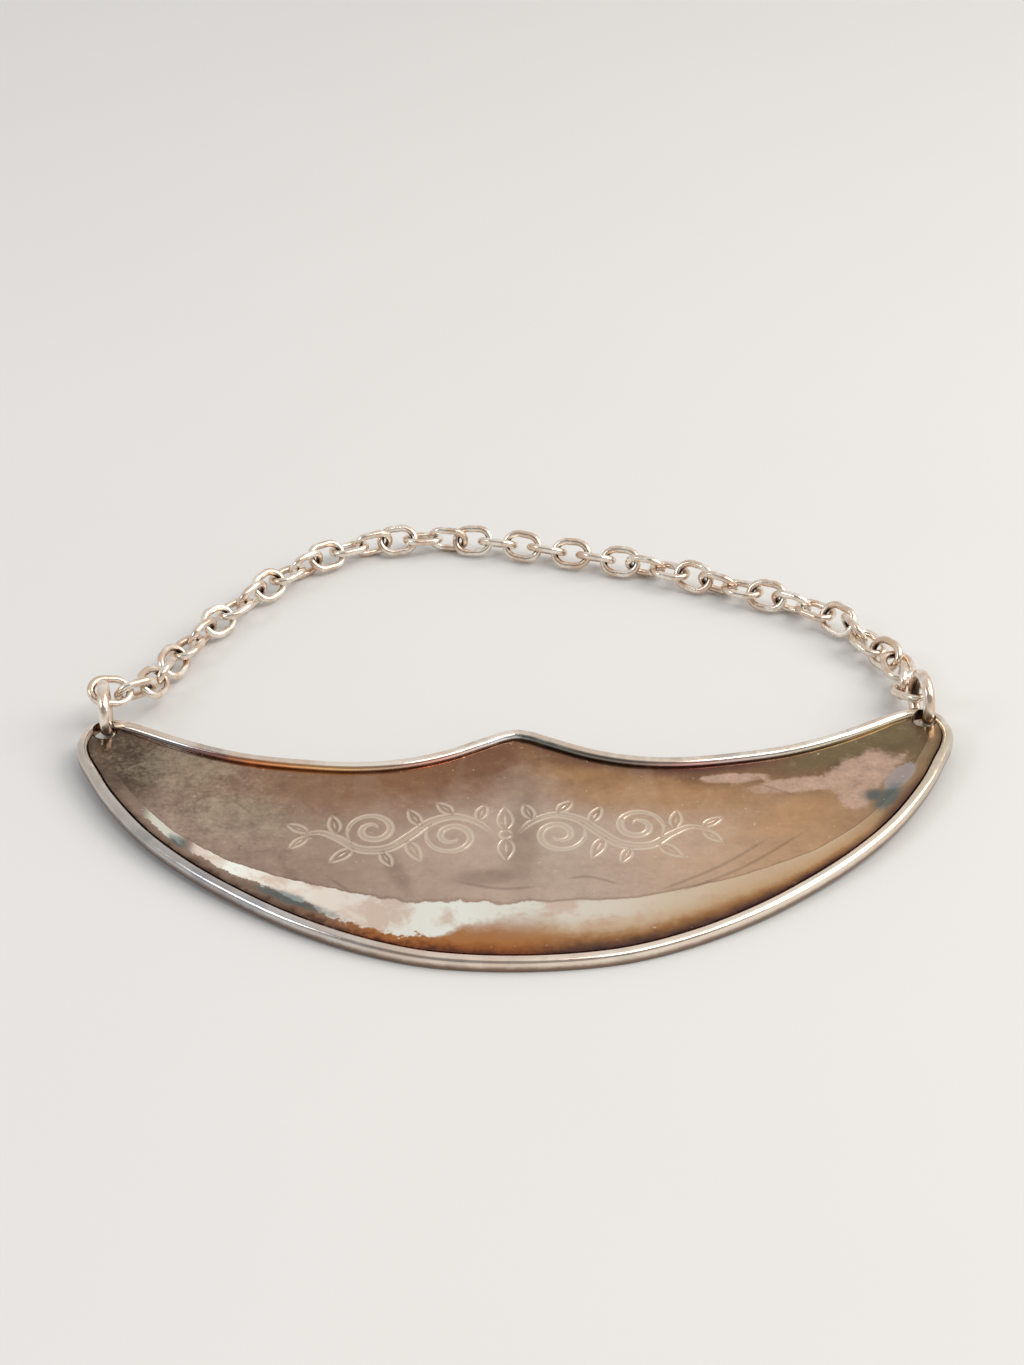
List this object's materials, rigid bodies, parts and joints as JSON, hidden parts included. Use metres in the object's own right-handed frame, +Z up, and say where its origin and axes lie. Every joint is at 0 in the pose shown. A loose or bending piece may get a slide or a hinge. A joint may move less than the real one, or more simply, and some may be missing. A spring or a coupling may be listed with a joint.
{
  "type": "decanter label",
  "caption": "Crescent-shaped silver decanter label with a raised border, hung by two jump rings from a cable chain that goes round the bottle's neck.",
  "frame": {"origin": "under the middle of the whole, label and laid-out chain together, level with the surface that they lie on", "axes": "+X to the label's right as it is read, +Y from the long lower edge towards the chain, +Z up out of the face, with the label lying on its back"},
  "size_m": [0.065, 0.055, 0.0048],
  "materials": {
    "silver_plate": "polished silver, worn and lightly tarnished, with an engraved scroll",
    "silver_border": "polished silver, worn bright on its crest",
    "silver_rings": "polished silver wire",
    "silver_chain": "polished silver wire, tarnished where the links meet"
  },
  "bodies": {
    "label": {"label_plate": "silver_plate", "border_rim": "silver_border"},
    "ring_left": {"ring_left": "silver_rings"},
    "ring_right": {"ring_right": "silver_rings"},
    "link_01": {"link_01": "silver_chain"},
    "link_02": {"link_02": "silver_chain"},
    "link_03": {"link_03": "silver_chain"},
    "link_04": {"link_04": "silver_chain"},
    "link_05": {"link_05": "silver_chain"},
    "link_06": {"link_06": "silver_chain"},
    "link_07": {"link_07": "silver_chain"},
    "link_08": {"link_08": "silver_chain"},
    "link_09": {"link_09": "silver_chain"},
    "link_10": {"link_10": "silver_chain"},
    "link_11": {"link_11": "silver_chain"},
    "link_12": {"link_12": "silver_chain"},
    "link_13": {"link_13": "silver_chain"},
    "link_14": {"link_14": "silver_chain"},
    "link_15": {"link_15": "silver_chain"},
    "link_16": {"link_16": "silver_chain"},
    "link_17": {"link_17": "silver_chain"},
    "link_18": {"link_18": "silver_chain"},
    "link_19": {"link_19": "silver_chain"},
    "link_20": {"link_20": "silver_chain"},
    "link_21": {"link_21": "silver_chain"},
    "link_22": {"link_22": "silver_chain"},
    "link_23": {"link_23": "silver_chain"},
    "link_24": {"link_24": "silver_chain"},
    "link_25": {"link_25": "silver_chain"},
    "link_26": {"link_26": "silver_chain"},
    "link_27": {"link_27": "silver_chain"},
    "link_28": {"link_28": "silver_chain"},
    "link_29": {"link_29": "silver_chain"},
    "link_30": {"link_30": "silver_chain"},
    "link_31": {"link_31": "silver_chain"},
    "link_32": {"link_32": "silver_chain"},
    "link_33": {"link_33": "silver_chain"},
    "link_34": {"link_34": "silver_chain"},
    "link_35": {"link_35": "silver_chain"},
    "link_36": {"link_36": "silver_chain"},
    "link_37": {"link_37": "silver_chain"},
    "link_38": {"link_38": "silver_chain"},
    "link_39": {"link_39": "silver_chain"},
    "link_40": {"link_40": "silver_chain"},
    "link_41": {"link_41": "silver_chain"}
  },
  "joints": [
    {"name": "bail_swing", "type": "hinge", "parent": "label", "child": "ring_left", "pos_m": [-0.0308, -0.00064, 0.0024], "axis": [1, 0, 0], "range_deg": [0, 145]},
    {"name": "right_ring_turn", "type": "hinge", "parent": "label", "child": "ring_right", "pos_m": [0.03076, -0.00064, 0.0024], "axis": [1, 0, 0], "range_deg": [-1, 146]},
    {"name": "link_01_bend", "type": "hinge", "parent": "ring_left", "child": "link_01", "pos_m": [-0.0316, 0.00106, 0.0032], "axis": [0, 0, 1], "range_deg": [-5.97, 5.97]},
    {"name": "link_02_bend", "type": "hinge", "parent": "link_01", "child": "link_02", "pos_m": [-0.0297, 0.00156, 0.00265], "axis": [0, 0, 1], "range_deg": [-10.75, 10.75]},
    {"name": "link_03_bend", "type": "hinge", "parent": "link_02", "child": "link_03", "pos_m": [-0.02809, 0.00277, 0.0023], "axis": [0, 0, 1], "range_deg": [-3.68, 3.68]},
    {"name": "link_04_bend", "type": "hinge", "parent": "link_03", "child": "link_04", "pos_m": [-0.02741, 0.00462, 0.00181], "axis": [0, 0, 1], "range_deg": [-15, 15]},
    {"name": "link_05_bend", "type": "hinge", "parent": "link_04", "child": "link_05", "pos_m": [-0.02709, 0.00659, 0.00138], "axis": [0, 0, 1], "range_deg": [-9.55, 9.55]},
    {"name": "link_06_bend", "type": "hinge", "parent": "link_05", "child": "link_06", "pos_m": [-0.02636, 0.00865, 0.00129], "axis": [0, 0, 1], "range_deg": [-4.23, 4.23]},
    {"name": "link_07_bend", "type": "hinge", "parent": "link_06", "child": "link_07", "pos_m": [-0.02541, 0.01063, 0.00133], "axis": [0, 0, 1], "range_deg": [-14.45, 14.45]},
    {"name": "link_08_bend", "type": "hinge", "parent": "link_07", "child": "link_08", "pos_m": [-0.02434, 0.01253, 0.00133], "axis": [0, 0, 1], "range_deg": [-15, 15]},
    {"name": "link_09_bend", "type": "hinge", "parent": "link_08", "child": "link_09", "pos_m": [-0.02319, 0.01439, 0.00133], "axis": [0, 0, 1], "range_deg": [-7.18, 7.18]},
    {"name": "link_10_bend", "type": "hinge", "parent": "link_09", "child": "link_10", "pos_m": [-0.02201, 0.01622, 0.00133], "axis": [0, 0, 1], "range_deg": [-6.75, 6.75]},
    {"name": "link_11_bend", "type": "hinge", "parent": "link_10", "child": "link_11", "pos_m": [-0.02075, 0.018, 0.00133], "axis": [0, 0, 1], "range_deg": [-15, 15]},
    {"name": "link_12_bend", "type": "hinge", "parent": "link_11", "child": "link_12", "pos_m": [-0.0194, 0.01971, 0.00133], "axis": [0, 0, 1], "range_deg": [-15.78, 15.78]},
    {"name": "link_13_bend", "type": "hinge", "parent": "link_12", "child": "link_13", "pos_m": [-0.01794, 0.02133, 0.00133], "axis": [0, 0, 1], "range_deg": [-5.12, 5.12]},
    {"name": "link_14_bend", "type": "hinge", "parent": "link_13", "child": "link_14", "pos_m": [-0.01638, 0.02286, 0.00133], "axis": [0, 0, 1], "range_deg": [-6.07, 6.07]},
    {"name": "link_15_bend", "type": "hinge", "parent": "link_14", "child": "link_15", "pos_m": [-0.01462, 0.02416, 0.00133], "axis": [0, 0, 1], "range_deg": [-17.17, 17.17]},
    {"name": "link_16_bend", "type": "hinge", "parent": "link_15", "child": "link_16", "pos_m": [-0.01268, 0.02516, 0.00133], "axis": [0, 0, 1], "range_deg": [-15, 15]},
    {"name": "link_17_bend", "type": "hinge", "parent": "link_16", "child": "link_17", "pos_m": [-0.0106, 0.02584, 0.00133], "axis": [0, 0, 1], "range_deg": [-6.3, 6.3]},
    {"name": "link_18_bend", "type": "hinge", "parent": "link_17", "child": "link_18", "pos_m": [-0.00843, 0.02616, 0.00133], "axis": [0, 0, 1], "range_deg": [-4.1, 4.1]},
    {"name": "link_19_bend", "type": "hinge", "parent": "link_18", "child": "link_19", "pos_m": [-0.00623, 0.02618, 0.00133], "axis": [0, 0, 1], "range_deg": [-14.24, 14.24]},
    {"name": "link_20_bend", "type": "hinge", "parent": "link_19", "child": "link_20", "pos_m": [-0.00407, 0.02594, 0.00133], "axis": [0, 0, 1], "range_deg": [-15, 15]},
    {"name": "link_21_bend", "type": "hinge", "parent": "link_20", "child": "link_21", "pos_m": [-0.00192, 0.02555, 0.00133], "axis": [0, 0, 1], "range_deg": [-7.26, 7.26]},
    {"name": "link_22_bend", "type": "hinge", "parent": "link_21", "child": "link_22", "pos_m": [0.00019, 0.02502, 0.00133], "axis": [0, 0, 1], "range_deg": [-1.2, 1.2]},
    {"name": "link_23_bend", "type": "hinge", "parent": "link_22", "child": "link_23", "pos_m": [0.00229, 0.02441, 0.00133], "axis": [0, 0, 1], "range_deg": [-9.9, 9.9]},
    {"name": "link_24_bend", "type": "hinge", "parent": "link_23", "child": "link_24", "pos_m": [0.00435, 0.02372, 0.00133], "axis": [0, 0, 1], "range_deg": [-15, 15]},
    {"name": "link_25_bend", "type": "hinge", "parent": "link_24", "child": "link_25", "pos_m": [0.00642, 0.02302, 0.00133], "axis": [0, 0, 1], "range_deg": [-8.7, 8.7]},
    {"name": "link_26_bend", "type": "hinge", "parent": "link_25", "child": "link_26", "pos_m": [0.00848, 0.02231, 0.00133], "axis": [0, 0, 1], "range_deg": [-7.68, 7.68]},
    {"name": "link_27_bend", "type": "hinge", "parent": "link_26", "child": "link_27", "pos_m": [0.01053, 0.02156, 0.00133], "axis": [0, 0, 1], "range_deg": [-15, 15]},
    {"name": "link_28_bend", "type": "hinge", "parent": "link_27", "child": "link_28", "pos_m": [0.01256, 0.02076, 0.00133], "axis": [0, 0, 1], "range_deg": [-12.97, 12.97]},
    {"name": "link_29_bend", "type": "hinge", "parent": "link_28", "child": "link_29", "pos_m": [0.01454, 0.01984, 0.00133], "axis": [0, 0, 1], "range_deg": [-3.25, 3.25]},
    {"name": "link_30_bend", "type": "hinge", "parent": "link_29", "child": "link_30", "pos_m": [0.01645, 0.0188, 0.00133], "axis": [0, 0, 1], "range_deg": [-11.07, 11.07]},
    {"name": "link_31_bend", "type": "hinge", "parent": "link_30", "child": "link_31", "pos_m": [0.01836, 0.01775, 0.00133], "axis": [0, 0, 1], "range_deg": [-15, 15]},
    {"name": "link_32_bend", "type": "hinge", "parent": "link_31", "child": "link_32", "pos_m": [0.02029, 0.01674, 0.00133], "axis": [0, 0, 1], "range_deg": [-2.82, 2.82]},
    {"name": "link_33_bend", "type": "hinge", "parent": "link_32", "child": "link_33", "pos_m": [0.0222, 0.01565, 0.00133], "axis": [0, 0, 1], "range_deg": [-4.71, 4.71]},
    {"name": "link_34_bend", "type": "hinge", "parent": "link_33", "child": "link_34", "pos_m": [0.02406, 0.0145, 0.00133], "axis": [0, 0, 1], "range_deg": [-7.48, 7.48]},
    {"name": "link_35_bend", "type": "hinge", "parent": "link_34", "child": "link_35", "pos_m": [0.02582, 0.0132, 0.00132], "axis": [0, 0, 1], "range_deg": [-15, 15]},
    {"name": "link_36_bend", "type": "hinge", "parent": "link_35", "child": "link_36", "pos_m": [0.02729, 0.01157, 0.00136], "axis": [0, 0, 1], "range_deg": [-14.27, 14.27]},
    {"name": "link_37_bend", "type": "hinge", "parent": "link_36", "child": "link_37", "pos_m": [0.02791, 0.00964, 0.00153], "axis": [0, 0, 1], "range_deg": [-4.35, 4.35]},
    {"name": "link_38_bend", "type": "hinge", "parent": "link_37", "child": "link_38", "pos_m": [0.02897, 0.00792, 0.00129], "axis": [0, 0, 1], "range_deg": [-6.06, 6.06]},
    {"name": "link_39_bend", "type": "hinge", "parent": "link_38", "child": "link_39", "pos_m": [0.02998, 0.00619, 0.00165], "axis": [0, 0, 1], "range_deg": [-16.81, 16.81]},
    {"name": "link_40_bend", "type": "hinge", "parent": "link_39", "child": "link_40", "pos_m": [0.03028, 0.00418, 0.00151], "axis": [0, 0, 1], "range_deg": [-15, 15]},
    {"name": "link_41_bend", "type": "hinge", "parent": "link_40", "child": "link_41", "pos_m": [0.02991, 0.00218, 0.00166], "axis": [0, 0, 1], "range_deg": [-6.65, 6.65]}
  ],
  "couplings": [
    {"joint": "right_ring_turn", "follows": "bail_swing", "ratio": 1},
    {"joint": "link_01_bend", "follows": "link_04_bend", "ratio": 0.3195},
    {"joint": "link_02_bend", "follows": "link_04_bend", "ratio": -0.6039},
    {"joint": "link_03_bend", "follows": "link_04_bend", "ratio": -0.1831},
    {"joint": "link_05_bend", "follows": "link_04_bend", "ratio": -0.5325},
    {"joint": "link_06_bend", "follows": "link_08_bend", "ratio": 0.2162},
    {"joint": "link_07_bend", "follows": "link_08_bend", "ratio": -0.8245},
    {"joint": "link_09_bend", "follows": "link_08_bend", "ratio": -0.3917},
    {"joint": "link_10_bend", "follows": "link_11_bend", "ratio": -0.366},
    {"joint": "link_12_bend", "follows": "link_11_bend", "ratio": -0.9033},
    {"joint": "link_13_bend", "follows": "link_11_bend", "ratio": 0.2693},
    {"joint": "link_14_bend", "follows": "link_16_bend", "ratio": 0.3258},
    {"joint": "link_15_bend", "follows": "link_16_bend", "ratio": -0.9863},
    {"joint": "link_17_bend", "follows": "link_16_bend", "ratio": -0.3395},
    {"joint": "link_18_bend", "follows": "link_20_bend", "ratio": 0.2085},
    {"joint": "link_19_bend", "follows": "link_20_bend", "ratio": -0.812},
    {"joint": "link_21_bend", "follows": "link_20_bend", "ratio": -0.3964},
    {"joint": "link_22_bend", "follows": "link_24_bend", "ratio": 0.0355},
    {"joint": "link_23_bend", "follows": "link_24_bend", "ratio": -0.5533},
    {"joint": "link_25_bend", "follows": "link_24_bend", "ratio": -0.4822},
    {"joint": "link_26_bend", "follows": "link_27_bend", "ratio": -0.4214},
    {"joint": "link_28_bend", "follows": "link_27_bend", "ratio": -0.7363},
    {"joint": "link_29_bend", "follows": "link_27_bend", "ratio": 0.1577},
    {"joint": "link_30_bend", "follows": "link_31_bend", "ratio": -0.6231},
    {"joint": "link_32_bend", "follows": "link_31_bend", "ratio": -0.1321},
    {"joint": "link_33_bend", "follows": "link_31_bend", "ratio": -0.2447},
    {"joint": "link_34_bend", "follows": "link_35_bend", "ratio": -0.4095},
    {"joint": "link_36_bend", "follows": "link_35_bend", "ratio": -0.8138},
    {"joint": "link_37_bend", "follows": "link_35_bend", "ratio": 0.2233},
    {"joint": "link_38_bend", "follows": "link_40_bend", "ratio": 0.3249},
    {"joint": "link_39_bend", "follows": "link_40_bend", "ratio": -0.9648},
    {"joint": "link_41_bend", "follows": "link_40_bend", "ratio": -0.3601}
  ]
}
